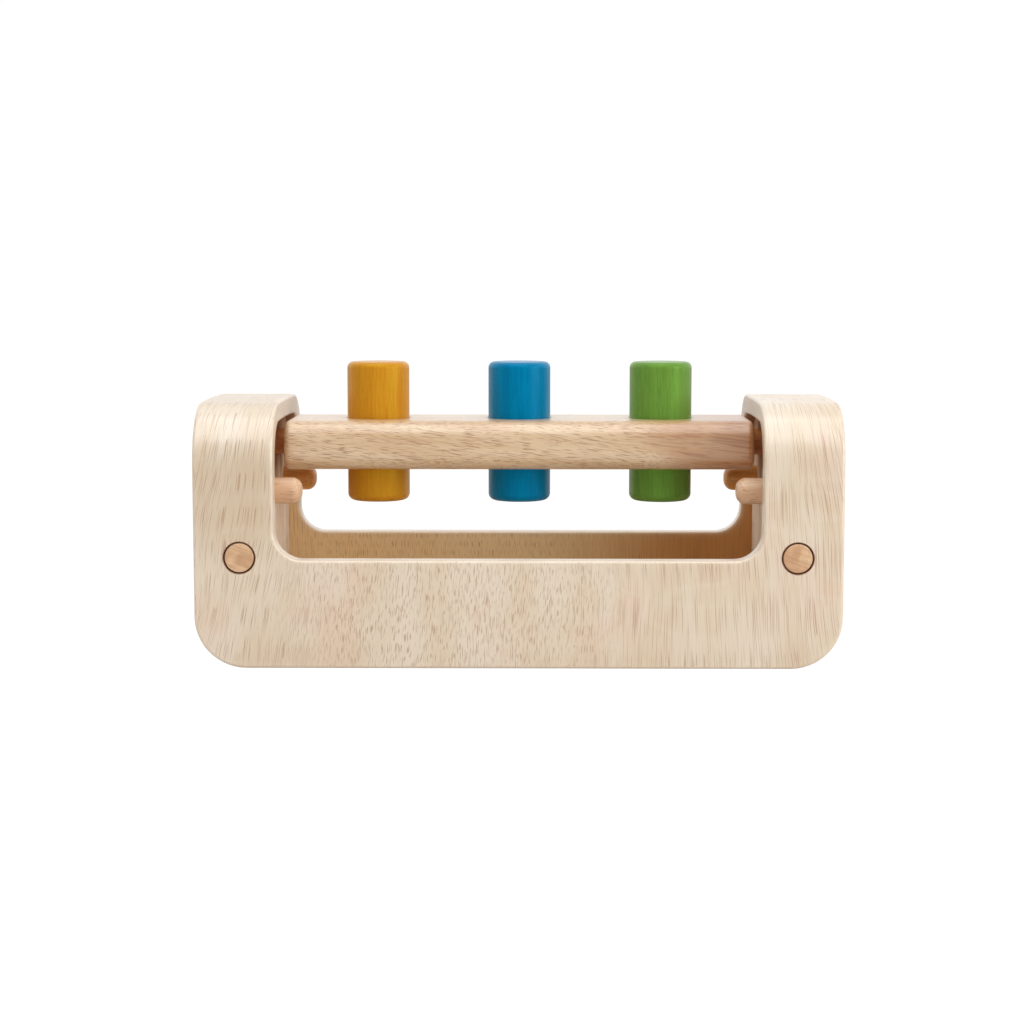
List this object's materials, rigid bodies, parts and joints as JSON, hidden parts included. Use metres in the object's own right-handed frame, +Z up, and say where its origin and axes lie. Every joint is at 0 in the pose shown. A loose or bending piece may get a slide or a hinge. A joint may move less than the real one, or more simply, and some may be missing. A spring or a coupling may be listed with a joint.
{
  "type": "peg pounding bench",
  "caption": "Wooden pounding bench toy: bent-wood shell with end arches carrying a turning bar in which coloured pegs are held by friction and hammered flush.",
  "frame": {"origin": "centre of the bench's footprint on the floor", "axes": "+X along the bench to the right as seen from the front, -Y to the front, +Z up"},
  "size_m": [0.25, 0.104, 0.1164],
  "materials": {
    "shell_wood": "pale bent rubberwood, clear satin lacquer, grain running up the panels and over the bend",
    "cheek_wood": "solid rubberwood, clear satin lacquer",
    "bar_wood": "solid rubberwood, clear satin lacquer, grain along the bar",
    "dowel_wood": "turned hardwood dowel, clear satin lacquer",
    "pin_wood": "end grain of a hardwood dowel, clear satin lacquer",
    "yellow_stain": "golden yellow stain under clear gloss lacquer",
    "blue_stain": "blue stain under clear gloss lacquer",
    "green_stain": "green stain under clear gloss lacquer",
    "grip_rubber": "matt black rubber"
  },
  "bodies": {
    "bench": {"bench_shell": "shell_wood", "left_cheek": "cheek_wood", "right_cheek": "cheek_wood", "left_front_stop": "dowel_wood", "left_back_stop": "dowel_wood", "right_front_stop": "dowel_wood", "right_back_stop": "dowel_wood", "left_front_pin": "pin_wood", "left_back_pin": "pin_wood", "right_front_pin": "pin_wood", "right_back_pin": "pin_wood"},
    "turning_bar": {"peg_bar": "bar_wood", "left_axle": "dowel_wood", "right_axle": "dowel_wood", "left_grip_ring": "grip_rubber", "middle_grip_ring": "grip_rubber", "right_grip_ring": "grip_rubber"},
    "yellow_peg": {"yellow_peg": "yellow_stain"},
    "blue_peg": {"blue_peg": "blue_stain"},
    "green_peg": {"green_peg": "green_stain"}
  },
  "joints": [
    {"name": "bar_turn", "type": "hinge", "parent": "bench", "child": "turning_bar", "pos_m": [0, 0, 0.084], "axis": [1, 0, 0], "continuous": true},
    {"name": "yellow_peg_slide", "type": "slide", "parent": "turning_bar", "child": "yellow_peg", "axis": [0, 0, 1], "range_m": [-0.0226, 0.0139]},
    {"name": "blue_peg_slide", "type": "slide", "parent": "turning_bar", "child": "blue_peg", "axis": [0, 0, 1], "range_m": [-0.0226, 0.0139]},
    {"name": "green_peg_slide", "type": "slide", "parent": "turning_bar", "child": "green_peg", "axis": [0, 0, 1], "range_m": [-0.0226, 0.0139]}
  ]
}
